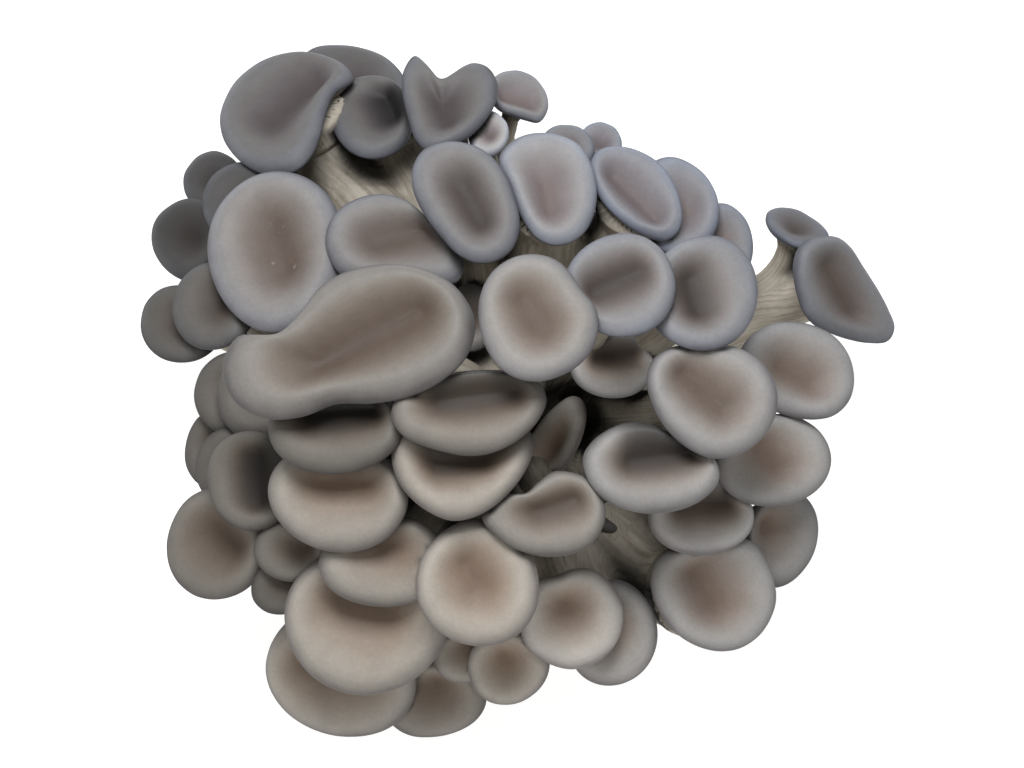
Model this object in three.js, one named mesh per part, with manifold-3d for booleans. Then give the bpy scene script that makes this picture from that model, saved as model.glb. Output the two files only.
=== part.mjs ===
// A cluster of grey oyster mushrooms, picked whole and standing on its cut butt.
//
// Some sixty mushrooms grow from one butt. Each has a smooth grey-brown cap with a hollow over its stalk,
// a rim that rolls down and under, and gills below that run down to the stalk. The cream stalks bend
// outwards from the butt and are one body with it.
//
// Millimetres, +Z up, the origin at the middle of the butt's cut face. The caps are laid out as they are
// seen in one picture of the cluster, taken from above its front: each one's middle, hollow or valley and
// special outline are picture points, and its width and height are in mm.

import * as THREE from 'three';
import { mergeVertices } from 'three/addons/utils/BufferGeometryUtils.js';
import Module from 'manifold-3d';

const wasm = await Module();
wasm.setup();

// The picture: its middle point, its scale on the plane through PIVOT, and where it is seen from.
const PICTURE_MIDDLE = [512, 384];
const MM_PER_PIXEL = 1 / 3;
const VIEW_ELEVATION = 70;
const VIEW_DISTANCE = 1500;
const PIVOT = new THREE.Vector3(0, 0, 54);
const MERGE_WITHIN = 1e-4;

// The dome that the middles of the caps lie on, before any is raised clear of those behind it.
const DOME_MIDDLE = new THREE.Vector3(0, 8, 24);
const DOME_RADII = new THREE.Vector3(124, 116, 60);

// How far a cap's face turns from the viewer towards the dome's own slope, and how far it tips up.
const DOME_LEAN = 0.55;
const UPWARD_TIP = 0.14;

// The cap's profile, from the hollow over the stalk to the rim and back under it.
// Its rings, depths and waves are shares of its mean radius, and its drop and relief are mm.
const TOP_RINGS = [0.34, 0.7, 0.9, 1];
const HOLLOW_DEPTH = 0.2;
const SHOULDER = 0.74;
const ROLL_DEPTH = 0.17;
const CENTRE_THICKNESS = 0.17;
const LIP_SHARE = 0.9;
const LIP_DROP = 1.5;
const GILL_RELIEF = 0.7;
const DISC_SHARE = 0.32;
const RIM_WAVE = 0.055;
const RIM_THIRD_WAVE = 0.6;
const OUTLINE_WAVE = 0.02;
const SEGMENTS = 18;
const SMALL_SEGMENTS = 12;
const SMALL_CAP = 30;

// Caps that would cross are raised towards the viewer until they are this far clear.
const CLEARANCE = 0.8;
const CELL = 1;
const SAMPLES_PER_CELL = 1.5;
const RAISING_ROUNDS = 6;

// The butt: its size in mm, and its rings from the top down as shares of its height and radius.
const BUTT_RADIUS = 58;
const BUTT_HEIGHT = 58;
const BUTT_RINGS = [[0.78, 0.72], [0.4, 1], [0, 0.84]];
const BUTT_WAVE = 0.05;
const BUTT_SIDES = 18;

// The stalks: rings along each one, and their radii as shares of the head's. Each starts just clear of its
// cap, bends on its way and ends inside the butt, which it leaves outwards and a little upwards.
const STALK_SIDES = 6;
const STALK_STEPS = [0, 0.12, 0.35, 0.65, 1];
const STALK_FLARE = [0.98, 0.92, 1, 1.25, 1.5];
const STALK_BEND = 0.45;
const STALK_RISE = 0.5;
const STALK_GAP = 0.4;
const NOTCH_GAP = 0.3;
const HEART_HEIGHT = 0.35;
const FOOT_SPREAD = new THREE.Vector3(0.62, 0.62, 0.35);

const CAP_MATERIAL = new THREE.MeshStandardMaterial({ color: 0x9a938e, roughness: 0.72, metalness: 0 });
const STALK_MATERIAL = new THREE.MeshStandardMaterial({ color: 0xcfc7b6, roughness: 0.85, metalness: 0 });

// The caps from the rearmost to the foremost. at: the middle of the outline. size: width and height in mm,
// as seen at PIVOT's distance. turn: degrees anticlockwise. hollow: the point over the stalk. valley: the
// two ends of a long hollow, whose middle is over the stalk. face: degrees right and up from the viewer,
// where it isn't the dome's own. out: mm towards the viewer from the dome. stalk: how much thicker its stalk
// is than the rest. outline: where it isn't an oval.
const CAPS = [
  // behind the top edge
  { at: [354, 76], size: [36, 20], turn: -16, hollow: [354, 82], face: [-5, 48] },
  { at: [600, 142], size: [15, 13], hollow: [600, 146], face: [5, 40] },
  { at: [567, 148], size: [18, 16], hollow: [565, 150], face: [0, 35] },
  { at: [518, 97], size: [21, 17], valley: [[502, 99], [530, 106]], face: [18, 36],
    outline: [[488, 88], [497, 75], [516, 70], [536, 78], [547, 96], [547, 113], [539, 121], [519, 116],
      [499, 108]] },
  { at: [488, 133], size: [14, 15], hollow: [490, 136] },
  { at: [725, 240], size: [19, 25], turn: 20, hollow: [720, 242] },
  { at: [678, 206], size: [27, 33], turn: 20, hollow: [686, 212], stalk: 1.4 },
  // the two long-stalked ones at the right
  { at: [797, 228], size: [23, 11], turn: -24, hollow: [795, 231], face: [10, 55], stalk: 1.5 },
  { at: [846, 291], size: [33, 36], valley: [[828, 268], [848, 308]], face: [32, 8], stalk: 1.5,
    outline: [[803, 243], [822, 236], [845, 240], [858, 257], [877, 287], [893, 320], [894, 338], [876, 343],
      [840, 336], [810, 320], [797, 288], [795, 260]] },
  // the left edge
  { at: [214, 182], size: [21, 20], hollow: [222, 186] },
  { at: [191, 239], size: [26, 28], turn: 15, hollow: [200, 240] },
  { at: [240, 203], size: [25, 28], hollow: [250, 208] },
  { at: [180, 324], size: [27, 26], hollow: [192, 318] },
  { at: [213, 306], size: [28, 29], hollow: [224, 299] },
  { at: [211, 450], size: [18, 25], hollow: [218, 450] },
  { at: [232, 394], size: [25, 29], hollow: [242, 392] },
  { at: [230, 468], size: [24, 27], hollow: [240, 466] },
  { at: [216, 545], size: [33, 38], valley: [[214, 528], [236, 546]] },
  { at: [261, 394], size: [31, 31], hollow: [268, 390] },
  { at: [280, 588], size: [20, 18], hollow: [292, 574] },
  { at: [290, 551], size: [25, 20], hollow: [309, 546] },
  { at: [252, 480], size: [30, 34], valley: [[257, 456], [259, 500]] },
  // the bottom edge
  { at: [434, 700], size: [34, 26], turn: 8, hollow: [437, 684] },
  { at: [341, 672], size: [52, 43], turn: -18, valley: [[312, 660], [366, 656]] },
  { at: [466, 657], size: [22, 18], hollow: [477, 642] },
  { at: [508, 667], size: [28, 25], turn: 8, hollow: [506, 656] },
  { at: [612, 634], size: [30, 36], turn: -12, hollow: [605, 620], stalk: 2 },
  { at: [365, 622], size: [56, 48], turn: -8, valley: [[344, 594], [386, 610]] },
  { at: [384, 562], size: [43, 31], hollow: [392, 545] },
  // the lower right
  { at: [781, 538], size: [24, 34], turn: -14, hollow: [764, 522] },
  { at: [714, 595], size: [42, 39], valley: [[696, 572], [713, 604]], stalk: 2.7,
    outline: [[651, 582], [660, 556], [690, 541], [735, 536], [757, 545], [771, 570], [777, 601], [764, 632],
      [744, 648], [719, 652], [690, 643], [665, 621]] },
  { at: [612, 513], size: [17, 14], hollow: [612, 510], out: -18 },
  { at: [701, 515], size: [36, 27], valley: [[682, 506], [727, 501]], stalk: 1.5 },
  { at: [775, 461], size: [38, 31], turn: 14, valley: [[762, 448], [776, 466]] },
  { at: [801, 372], size: [36, 30], valley: [[782, 368], [808, 384]],
    outline: [[738, 366], [744, 344], [762, 328], [788, 321], [819, 327], [844, 346], [855, 376],
      [849, 402], [831, 417], [800, 418], [772, 409], [749, 391]] },
  // the deep gap in the middle
  { at: [549, 449], size: [15, 40], turn: -30, hollow: [556, 448], face: [-48, 20], out: -14 },
  { at: [471, 318], size: [18, 23], hollow: [470, 318], out: -16 },
  // the lower left of the middle
  { at: [338, 497], size: [48, 36], turn: -6, valley: [[322, 482], [364, 482]] },
  { at: [573, 619], size: [34, 34], hollow: [566, 604], stalk: 1.5,
    outline: [[539, 579], [560, 575], [582, 567], [602, 575], [618, 594], [624, 617], [617, 643], [598, 662],
      [572, 670], [544, 662], [523, 641], [522, 610]] },
  { at: [478, 584], size: [42, 42], valley: [[468, 566], [478, 584]] },
  { at: [543, 515], size: [42, 29], valley: [[541, 510], [573, 498]],
    outline: [[527, 493], [551, 472], [590, 480], [606, 515], [588, 547], [545, 557], [501, 541], [482, 515],
      [507, 494]] },
  { at: [461, 471], size: [50, 35], valley: [[438, 464], [484, 458]],
    outline: [[391, 452], [402, 430], [440, 424], [500, 420], [526, 426], [534, 442], [528, 466],
      [510, 492], [482, 514], [452, 521], [422, 508], [399, 484]] },
  { at: [334, 427], size: [46, 31], valley: [[312, 414], [372, 408]] },
  { at: [469, 413], size: [52, 29], valley: [[442, 400], [512, 391]],
    outline: [[391, 418], [396, 397], [419, 380], [456, 372], [496, 370], [530, 376], [546, 391],
      [543, 412], [528, 432], [500, 450], [470, 456], [430, 448], [403, 436]] },
  { at: [652, 469], size: [47, 31], valley: [[632, 460], [690, 452]],
    outline: [[584, 453], [603, 433], [632, 422], [665, 430], [715, 460], [721, 476], [700, 502], [650, 514],
      [605, 500], [586, 476]] },
  // the upper right
  { at: [612, 364], size: [28, 23], valley: [[597, 357], [632, 353]], out: 10 },
  { at: [712, 400], size: [43, 38], valley: [[684, 374], [722, 405]],
    outline: [[647, 382], [654, 358], [676, 346], [705, 345], [738, 347], [762, 362], [777, 388], [777, 413],
      [763, 438], [738, 455], [711, 458], [684, 445], [661, 421]] },
  { at: [703, 293], size: [38, 38], turn: -10, valley: [[687, 282], [697, 309]] },
  { at: [637, 192], size: [28, 31], valley: [[613, 178], [654, 219]], stalk: 2.4,
    outline: [[590, 162], [601, 148], [622, 146], [650, 156], [670, 175], [681, 203], [681, 226], [668, 239],
      [645, 235], [622, 221], [604, 203], [593, 182]] },
  { at: [548, 190], size: [34, 38], valley: [[545, 186], [549, 210]], stalk: 2.2,
    outline: [[499, 158], [516, 138], [545, 132], [575, 141], [592, 165], [597, 200], [586, 230], [562, 245],
      [540, 240], [524, 221], [511, 190]] },
  { at: [621, 285], size: [38, 34], turn: 8, valley: [[593, 291], [638, 271]] },
  // the upper left
  { at: [369, 117], size: [30, 28], valley: [[386, 98], [394, 116]], stalk: 1.9,
    outline: [[328, 103], [342, 84], [370, 76], [397, 83], [410, 104], [411, 130], [398, 150], [372, 158],
      [347, 149], [332, 127]] },
  { at: [449, 104], size: [32, 31], valley: [[442, 105], [447, 122]], stalk: 1.3,
    outline: [[402, 76], [413, 56], [428, 66], [441, 80], [470, 63], [493, 71], [497, 96], [478, 128],
      [450, 146], [424, 149], [409, 122]] },
  { at: [285, 113], size: [43, 37], valley: [[274, 124], [318, 84]], stalk: 1.7,
    outline: [[219, 126], [227, 95], [249, 68], [282, 54], [321, 55], [355, 74], [334, 92], [323, 118],
      [316, 146], [296, 169], [266, 174], [235, 156]] },
  { at: [275, 250], size: [46, 53], valley: [[272, 230], [286, 264]] },
  { at: [395, 241], size: [46, 31], valley: [[378, 242], [422, 230]],
    outline: [[325, 240], [334, 214], [357, 198], [387, 194], [412, 204], [434, 226], [455, 250],
      [465, 268], [456, 282], [420, 285], [375, 283], [338, 272]] },
  { at: [466, 203], size: [35, 41], valley: [[464, 190], [480, 221]],
    outline: [[411, 175], [421, 151], [450, 141], [484, 150], [505, 172], [516, 200], [520, 228], [508, 253],
      [484, 263], [461, 256], [438, 233], [419, 205]] },
  // the foremost
  { at: [539, 317], size: [40, 42], valley: [[524, 300], [543, 326]],
    outline: [[478, 312], [485, 282], [506, 260], [535, 254], [562, 263], [580, 287], [596, 308], [598, 332],
      [588, 356], [566, 373], [538, 381], [508, 374], [487, 350]] },
  { at: [350, 343], size: [85, 51], valley: [[322, 362], [418, 310]],
    outline: [[284, 333], [312, 292], [355, 268], [400, 264], [445, 278], [473, 312], [470, 350], [435, 385],
      [385, 402], [335, 404], [285, 420], [240, 408], [221, 370], [238, 336]] },
];

// The view's axes in the cluster's own frame.
const elevation = THREE.MathUtils.degToRad(VIEW_ELEVATION);
const RIGHT = new THREE.Vector3(1, 0, 0);
const UP = new THREE.Vector3(0, Math.sin(elevation), Math.cos(elevation));
const TOWARD = new THREE.Vector3(0, -Math.cos(elevation), Math.sin(elevation));

// A direction or offset given as [right, up, toward] of the view.
function viewVector([right, up, toward]) {
  return new THREE.Vector3()
    .addScaledVector(RIGHT, right)
    .addScaledVector(UP, up)
    .addScaledVector(TOWARD, toward);
}

// How much smaller a thing is than it looks, at a depth towards the viewer from PIVOT.
function shrink(toward) {
  return 1 - toward / VIEW_DISTANCE;
}

// A picture point as mm right and up of the picture's middle, at a depth towards the viewer.
function seenOffset([px, py], toward) {
  const scale = MM_PER_PIXEL * shrink(toward);
  return new THREE.Vector2((px - PICTURE_MIDDLE[0]) * scale, (PICTURE_MIDDLE[1] - py) * scale);
}

// How far towards the viewer the dome lies behind a picture point, and the dome's slope there.
function onDome(point) {
  const eye = PIVOT.clone().addScaledVector(TOWARD, VIEW_DISTANCE);
  const flat = seenOffset(point, 0);
  const target = PIVOT.clone().add(viewVector([flat.x, flat.y, 0]));
  const ray = new THREE.Ray(
    eye.clone().sub(DOME_MIDDLE).divide(DOME_RADII),
    target.clone().sub(eye).divide(DOME_RADII).normalize(),
  );
  const unit = new THREE.Vector3();
  if (!ray.intersectSphere(new THREE.Sphere(new THREE.Vector3(), 1), unit)) {
    ray.closestPointToPoint(new THREE.Vector3(), unit);
    unit.normalize();
  }
  const slope = unit.clone().divide(DOME_RADII).normalize();
  const place = unit.multiply(DOME_RADII).add(DOME_MIDDLE);
  return { toward: place.sub(PIVOT).dot(TOWARD), slope };
}

// The direction that a cap faces, in view axes.
function facing(cap, slope) {
  if (!cap.face) {
    const lean = new THREE.Vector3(slope.dot(RIGHT), slope.dot(UP), slope.dot(TOWARD));
    return lean.multiplyScalar(DOME_LEAN).add(new THREE.Vector3(0, UPWARD_TIP, 1 - DOME_LEAN)).normalize();
  }
  const [yaw, pitch] = cap.face.map(THREE.MathUtils.degToRad);
  return new THREE.Vector3(Math.sin(yaw) * Math.cos(pitch), Math.sin(pitch), Math.cos(yaw) * Math.cos(pitch));
}

// A repeatable number from 0 to 1 for a cap and a purpose.
function draw(index, purpose) {
  const x = Math.sin((index + 1) * 12.9898 + purpose * 78.233) * 43758.5453;
  return x - Math.floor(x);
}

// The cap's outline as seen, as a function of the share of the way round, in mm from its middle.
function outlineOf(cap, index, toward) {
  const middle = seenOffset(cap.at, toward);
  if (cap.outline) {
    const points = cap.outline.map((p) => seenOffset(p, toward).sub(middle));
    const clockwise = THREE.ShapeUtils.area(points) < 0;
    if (clockwise) points.reverse();
    const curve = new THREE.CatmullRomCurve3(
      points.map((p) => new THREE.Vector3(p.x, p.y, 0)), true, 'centripetal');
    return (share) => {
      const p = curve.getPointAt(share % 1);
      return new THREE.Vector2(p.x, p.y);
    };
  }
  const [wide, tall] = cap.size.map((length) => length * shrink(toward));
  const turn = THREE.MathUtils.degToRad(cap.turn ?? 0);
  const phase = [2, 3].map((k) => draw(index, k) * 2 * Math.PI);
  return (share) => {
    const angle = share * 2 * Math.PI;
    const wave = 1 + OUTLINE_WAVE * (Math.cos(2 * angle + phase[0]) + Math.cos(3 * angle + phase[1]));
    return new THREE.Vector2(wave * Math.cos(angle) * wide / 2, wave * Math.sin(angle) * tall / 2)
      .rotateAround(new THREE.Vector2(), turn);
  };
}

// The ends of the cap's hollow, in mm from the cap's middle. They are one point where it isn't long.
function hollowEnds(cap, toward) {
  const middle = seenOffset(cap.at, toward);
  return (cap.valley ?? [cap.hollow, cap.hollow]).map((p) => seenOffset(p, toward).sub(middle));
}

// The point between two ends that is nearest to p.
function nearestBetween([start, end], p) {
  const along = end.clone().sub(start);
  const length = along.length();
  if (length === 0) return start.clone();
  const share = p.clone().sub(start).dot(along) / length ** 2;
  return start.clone().addScaledVector(along, THREE.MathUtils.clamp(share, 0, 1));
}

// Height of the cap's upper face above its plane, as a share of its mean radius.
function topHeight(rho) {
  const hollow = -HOLLOW_DEPTH * (1 - THREE.MathUtils.smoothstep(rho, 0, SHOULDER));
  const roll = rho > SHOULDER ? -ROLL_DEPTH * ((rho - SHOULDER) / (1 - SHOULDER)) ** 2 : 0;
  return hollow + roll;
}

// A closed cap in view axes, raised by a lift, from the pole over its hollow, out over the rim and back to
// the pole under it.
function makeCap(cap, index, lift) {
  const dome = onDome(cap.at);
  const toward = dome.toward + (cap.out ?? 0) + lift;
  const face = facing(cap, dome.slope);
  const radius = Math.sqrt(cap.size[0] * cap.size[1]) / 2 * shrink(toward);
  const rimSway = new THREE.Vector2(face.x, face.y).multiplyScalar(radius * topHeight(1));
  const middle = seenOffset(cap.at, toward).sub(rimSway);
  const ends = hollowEnds(cap, toward);
  const overStalk = ends[0].clone().lerp(ends[1], 0.5);
  const outline = outlineOf(cap, index, toward);
  const segments = Math.max(...cap.size) < SMALL_CAP ? SMALL_SEGMENTS : SEGMENTS;
  const phase = [5, 6].map((k) => draw(index, k) * 2 * Math.PI);

  const wave = (share, rho) => {
    const angle = share * 2 * Math.PI;
    const swing = Math.cos(2 * angle + phase[0]) + RIM_THIRD_WAVE * Math.cos(3 * angle + phase[1]);
    return RIM_WAVE * radius * rho * rho * swing;
  };
  // The wave lifts the rim along the face, so its outline is set back by the lift's sideways part.
  const rim = (share) => outline(share).addScaledVector(new THREE.Vector2(face.x, face.y), -wave(share, 1));

  const onPlane = (from, share, rho, height) => {
    const q = rim(share).sub(from).multiplyScalar(rho).add(from);
    const depth = -(face.x * q.x + face.y * q.y) / face.z;
    const seenAlike = shrink(toward + depth) / shrink(toward);
    const across = q.add(middle).multiplyScalar(seenAlike);
    return new THREE.Vector3(across.x, across.y, toward + depth).addScaledVector(face, height);
  };
  const top = (share, rho) => {
    const from = nearestBetween(ends, rim(share));
    return onPlane(from, share, rho, radius * topHeight(rho) + wave(share, rho));
  };

  const lip = (share, k) => {
    const relief = k % 2 ? GILL_RELIEF : -GILL_RELIEF;
    const height = radius * topHeight(1) + wave(share, 1) - LIP_DROP + relief;
    return onPlane(overStalk, share, LIP_SHARE, height);
  };
  const underside = -radius * (HOLLOW_DEPTH + CENTRE_THICKNESS);
  const disc = (share) => onPlane(overStalk, share, DISC_SHARE, underside);

  const shares = Array.from({ length: segments }, (_, k) => k / segments);
  const rings = [
    [onPlane(overStalk, 0, 0, radius * topHeight(0))],
    ...TOP_RINGS.map((rho) => shares.map((share) => top(share, rho))),
    shares.map(lip),
    shares.map(disc),
    [onPlane(overStalk, 0, 0, underside)],
  ];
  return { rings, face, lift, headRadius: radius * DISC_SHARE * (cap.stalk ?? 1) };
}

// The triangles between successive rings, the first and last of which are single points.
function skinOf(rings) {
  const positions = rings.flat().flatMap((p) => p.toArray());
  const starts = rings.reduce((sum, ring) => [...sum, sum.at(-1) + ring.length], [0]);
  const index = [];
  for (let r = 0; r + 1 < rings.length; r++) {
    const sides = Math.max(rings[r].length, rings[r + 1].length);
    for (let k = 0; k < sides; k++) {
      const near = (n) => starts[r] + (n % rings[r].length);
      const far = (n) => starts[r + 1] + (n % rings[r + 1].length);
      if (rings[r + 1].length > 1) index.push(near(k), far(k), far(k + 1));
      if (rings[r].length > 1) index.push(near(k), far(k + 1), near(k + 1));
    }
  }
  const geometry = new THREE.BufferGeometry();
  geometry.setAttribute('position', new THREE.Float32BufferAttribute(positions, 3));
  geometry.setIndex(index);
  return geometry;
}

// The highest or lowest depth of a skin in each cell of a grid across the view.
function depthMap(rings, keep) {
  const geometry = skinOf(rings);
  const corner = [0, 1, 2].map(() => new THREE.Vector3());
  const position = geometry.getAttribute('position');
  const map = new Map();
  for (let t = 0; t < geometry.index.count; t += 3) {
    corner.forEach((c, i) => c.fromBufferAttribute(position, geometry.index.getX(t + i)));
    const reach = Math.max(corner[0].distanceTo(corner[1]), corner[0].distanceTo(corner[2]));
    const steps = Math.ceil(reach / CELL * SAMPLES_PER_CELL);
    for (let a = 0; a <= steps; a++) {
      for (let b = 0; a + b <= steps; b++) {
        const p = new THREE.Vector3()
          .addScaledVector(corner[0], 1 - (a + b) / steps)
          .addScaledVector(corner[1], a / steps)
          .addScaledVector(corner[2], b / steps);
        const key = `${Math.floor(p.x / CELL)},${Math.floor(p.y / CELL)}`;
        map.set(key, map.has(key) ? keep(map.get(key), p.z) : p.z);
      }
    }
  }
  return map;
}

// How far a cap has to rise to be clear of the depths that lie behind it.
function shortfall(cap, highest) {
  let most = 0;
  for (const [key, depth] of depthMap(cap.rings, Math.min)) {
    if (highest.has(key)) most = Math.max(most, highest.get(key) + CLEARANCE - depth);
  }
  return most;
}

// Makes the caps from the rearmost on, each raised along its line of sight clear of those behind it.
function stack(rows) {
  const highest = new Map();
  return rows.map((row, index) => {
    let cap = makeCap(row, index, 0);
    for (let round = 0; round < RAISING_ROUNDS && shortfall(cap, highest) > 0; round++) {
      cap = makeCap(row, index, cap.lift + shortfall(cap, highest));
    }
    for (const [key, depth] of depthMap(cap.rings, Math.max)) {
      highest.set(key, Math.max(depth, highest.get(key) ?? -Infinity));
    }
    return cap;
  });
}

// Brings a cap from view axes into the cluster's frame.
function toCluster({ rings, face, headRadius }) {
  const placed = rings.map((ring) => ring.map((p) => PIVOT.clone().add(viewVector(p.toArray()))));
  const axis = viewVector(face.toArray()).normalize();
  return { rings: placed, axis, underPole: placed.at(-1)[0], headRadius };
}

// Moves a closed skin outwards along its normals.
function swell(geometry, by) {
  geometry.computeVertexNormals();
  const position = geometry.getAttribute('position');
  const normal = geometry.getAttribute('normal');
  for (let i = 0; i < position.count; i++) {
    position.setXYZ(
      i,
      position.getX(i) + normal.getX(i) * by,
      position.getY(i) + normal.getY(i) * by,
      position.getZ(i) + normal.getZ(i) * by,
    );
  }
  geometry.deleteAttribute('normal');
  return geometry;
}

// A merged solid of a closed skin.
function solidOf(geometry) {
  const bare = mergeVertices(geometry, MERGE_WITHIN);
  return new wasm.Manifold(new wasm.Mesh({
    numProp: 3,
    vertProperties: bare.getAttribute('position').array,
    triVerts: new Uint32Array(bare.index.array),
  }));
}

function geometryOf(solid) {
  const mesh = solid.getMesh();
  const geometry = new THREE.BufferGeometry();
  const positions = new Float32Array(mesh.numVert * 3);
  for (let i = 0; i < mesh.numVert; i++) {
    positions.set(mesh.vertProperties.subarray(i * mesh.numProp, i * mesh.numProp + 3), i * 3);
  }
  geometry.setAttribute('position', new THREE.BufferAttribute(positions, 3));
  geometry.setIndex(new THREE.BufferAttribute(mesh.triVerts, 1));
  return geometry;
}

// The butt: a low rounded lump with a flat cut face below and an uneven outline.
function buttRings() {
  const rings = BUTT_RINGS.map(([up, out]) => Array.from({ length: BUTT_SIDES }, (_, k) => {
    const angle = k / BUTT_SIDES * 2 * Math.PI;
    const uneven = 1 + BUTT_WAVE * (Math.cos(3 * angle + 1) + Math.cos(5 * angle));
    const reach = BUTT_RADIUS * out * uneven;
    return new THREE.Vector3(Math.cos(angle) * reach, Math.sin(angle) * reach, BUTT_HEIGHT * up);
  }));
  return [[new THREE.Vector3(0, 0, BUTT_HEIGHT)], ...rings, [new THREE.Vector3(0, 0, 0)]];
}

// A stalk from under its cap down into the butt.
function stalkRings({ axis, underPole, headRadius }) {
  const head = underPole.clone().addScaledVector(axis, -STALK_GAP);
  const heart = new THREE.Vector3(0, 0, BUTT_HEIGHT * HEART_HEIGHT);
  const outward = head.clone().sub(heart).normalize();
  const inButt = new THREE.Vector3(BUTT_RADIUS, BUTT_RADIUS, BUTT_HEIGHT).multiply(FOOT_SPREAD);
  const foot = outward.clone().multiply(inButt).add(heart);
  const leaving = outward.clone().add(new THREE.Vector3(0, 0, STALK_RISE)).normalize();
  const bend = head.distanceTo(foot) * STALK_BEND;
  const path = new THREE.CubicBezierCurve3(
    head,
    head.clone().addScaledVector(axis, -bend),
    foot.clone().addScaledVector(leaving, bend),
    foot,
  );
  const across = new THREE.Vector3().crossVectors(axis, RIGHT).normalize();
  const rings = STALK_STEPS.map((t, i) => {
    const centre = path.getPoint(t);
    const along = path.getTangent(t);
    const side = across.clone().addScaledVector(along, -across.dot(along)).normalize();
    const other = new THREE.Vector3().crossVectors(side, along);
    const reach = headRadius * STALK_FLARE[i];
    return Array.from({ length: STALK_SIDES }, (_, k) => {
      const angle = k / STALK_SIDES * 2 * Math.PI;
      return centre.clone()
        .addScaledVector(side, Math.cos(angle) * reach)
        .addScaledVector(other, Math.sin(angle) * reach);
    });
  });
  return [[head], ...rings, [foot]];
}

// The stalks and the butt in one, notched where a cap presses against a stalk.
function stalksAndButt(caps) {
  const tubes = caps.map((cap) => solidOf(skinOf(stalkRings(cap))));
  const whole = wasm.Manifold.union([solidOf(skinOf(buttRings())), ...tubes]);
  const rooms = caps.map((cap) => solidOf(swell(skinOf(cap.rings), NOTCH_GAP)));
  return rooms.reduce((left, room) => (left.intersect(room).isEmpty() ? left : left.subtract(room)), whole);
}

const caps = stack(CAPS).map(toCluster);
const cluster = new THREE.Group();
caps.forEach((cap, index) => {
  const mesh = new THREE.Mesh(skinOf(cap.rings), CAP_MATERIAL);
  mesh.name = `cap_${String(index + 1).padStart(2, '0')}`;
  cluster.add(mesh);
});

const stalks = new THREE.Mesh(geometryOf(stalksAndButt(caps)), STALK_MATERIAL);
stalks.name = 'stalks_and_butt';
cluster.add(stalks);

export default cluster;
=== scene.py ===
"""A cluster of grey oyster mushrooms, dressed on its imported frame.

Every cap node is replaced by a finer cap of the same form, with real gills, and the node of the stalks and
the butt by fused stalks on the same curves. Metres, +Z up, the origin at the middle of the cut face.
"""
import math
from collections import defaultdict

import bpy
import numpy as np
from mathutils import Matrix, Vector
from mathutils.bvhtree import BVHTree


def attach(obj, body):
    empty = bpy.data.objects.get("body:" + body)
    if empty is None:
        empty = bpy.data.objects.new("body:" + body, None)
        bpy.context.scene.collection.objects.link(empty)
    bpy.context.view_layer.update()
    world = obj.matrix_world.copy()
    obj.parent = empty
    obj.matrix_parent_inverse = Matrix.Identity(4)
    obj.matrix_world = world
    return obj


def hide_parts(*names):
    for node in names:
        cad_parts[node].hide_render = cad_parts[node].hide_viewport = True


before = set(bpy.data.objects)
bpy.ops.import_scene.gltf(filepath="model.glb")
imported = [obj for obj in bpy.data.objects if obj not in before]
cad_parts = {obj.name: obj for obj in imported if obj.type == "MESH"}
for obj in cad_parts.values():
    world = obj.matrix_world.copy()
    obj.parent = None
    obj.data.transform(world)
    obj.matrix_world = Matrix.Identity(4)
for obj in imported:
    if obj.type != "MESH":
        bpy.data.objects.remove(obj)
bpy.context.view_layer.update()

MM = 0.001

# The picture that the caps were laid out from, and the camera that sees them as it does.
PICTURE_WIDTH = 1024
PICTURE_MIDDLE = (512, 384)
METRES_PER_PIXEL = MM / 3
VIEW_ELEVATION = math.radians(70)
VIEW_DISTANCE = 1500 * MM
PIVOT = np.array([0, 0, 54 * MM])
SENSOR_WIDTH = 36
RIGHT = np.array([1.0, 0.0, 0.0])
UP = np.array([0.0, math.sin(VIEW_ELEVATION), math.cos(VIEW_ELEVATION)])
TOWARD = np.array([0.0, -math.cos(VIEW_ELEVATION), math.sin(VIEW_ELEVATION)])

# A cap's profile, as shares of its mean radius, and how its node's rings lie on it.
CAP_COUNT = 59
WELD = 0.002 * MM
HOLLOW_DEPTH = 0.2
SHOULDER = 0.74
ROLL_DEPTH = 0.17
CENTRE_THICKNESS = 0.17
DISC_SHARE = 0.32
LIP_SHARE = 0.9
LIP_DROP = 1.5 * MM
INNER_RING = 0
INNER_SHARE = 0.34
RIM_RING = 3
DISC_RING = 5
SAME_POINT = 0.01 * MM

# The finer cap's skin. Rows are shares of the way from the hollow to the rim. Each ripple has its waves
# round the cap, its twist towards the rim, its weight and the purpose of its draw.
COLUMNS = 96
TOP_ROWS = [0.05, 0.11, 0.18, 0.25, 0.32, 0.39, 0.46, 0.53, 0.6, 0.66, 0.72, 0.77, 0.82, 0.86, 0.9, 0.93,
            0.96, 0.98, 0.995]
RIPPLE_HEIGHT = 0.12 * MM
RIPPLES = [(3, 2.2, 1, 10), (5, -3, 1, 11), (9, 4, 0.6, 12)]
SOFTENING = 40

# Its rounded edge: share of the way out, drop below the rim, and place on the skin's colour scale.
EDGE_ROWS = [(1.0, 0.35 * MM, 1.0), (0.997, 0.75 * MM, 1.02), (0.98, 1.1 * MM, 1.04), (0.95, 1.35 * MM, 1.06)]

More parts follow.
